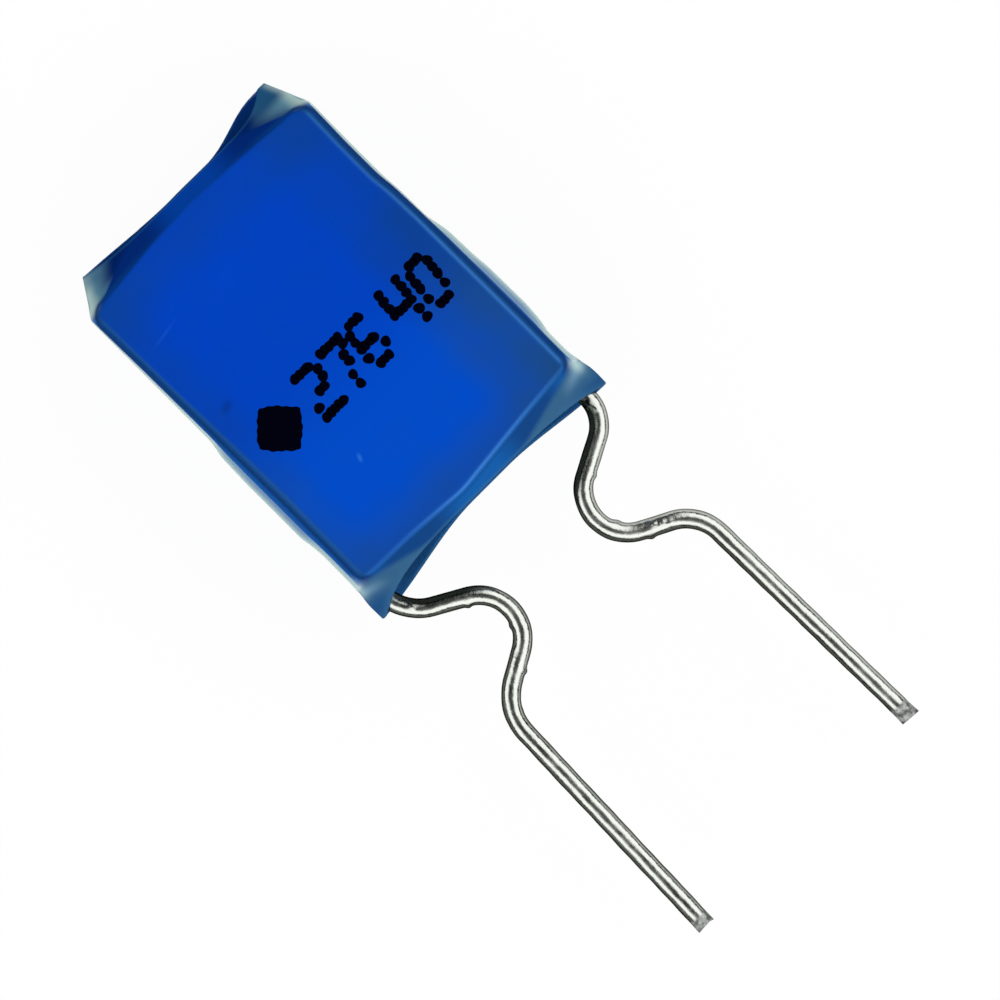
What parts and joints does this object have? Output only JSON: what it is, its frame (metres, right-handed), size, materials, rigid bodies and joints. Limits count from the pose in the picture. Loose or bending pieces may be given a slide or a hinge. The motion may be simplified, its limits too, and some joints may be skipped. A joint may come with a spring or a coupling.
{
  "type": "polyester film capacitor",
  "caption": "Flat rectangular film capacitor in a shrunk blue sleeve open at both ends, with kinked round wire leads for a circuit board.",
  "frame": {"origin": "middle of the flat back face, on the surface that the part lies on", "axes": "+Z out of the printed front face, +Y from the leads to the end without leads, +X across the lead pitch"},
  "size_m": [0.0087, 0.024, 0.0044],
  "materials": {
    "sleeve": "glossy blue shrunk polyester film, pale where it is seen edge on",
    "film": "cut edges of metallised film, fine grey layers",
    "cover_film": "plain milky film",
    "contact_metal": "sprayed metal, matt and granular",
    "solder": "dull bright solder",
    "lead_metal": "bright tinned wire, slightly mottled",
    "ink": "matt black ink dots"
  },
  "bodies": {
    "root": {"sleeve": "sleeve", "film_stack": "film", "cover_front": "cover_film", "cover_back": "cover_film", "contact_left": "contact_metal", "contact_right": "contact_metal", "solder_left": "solder", "solder_right": "solder", "lead_left": "lead_metal", "lead_right": "lead_metal"}
  },
  "joints": []
}
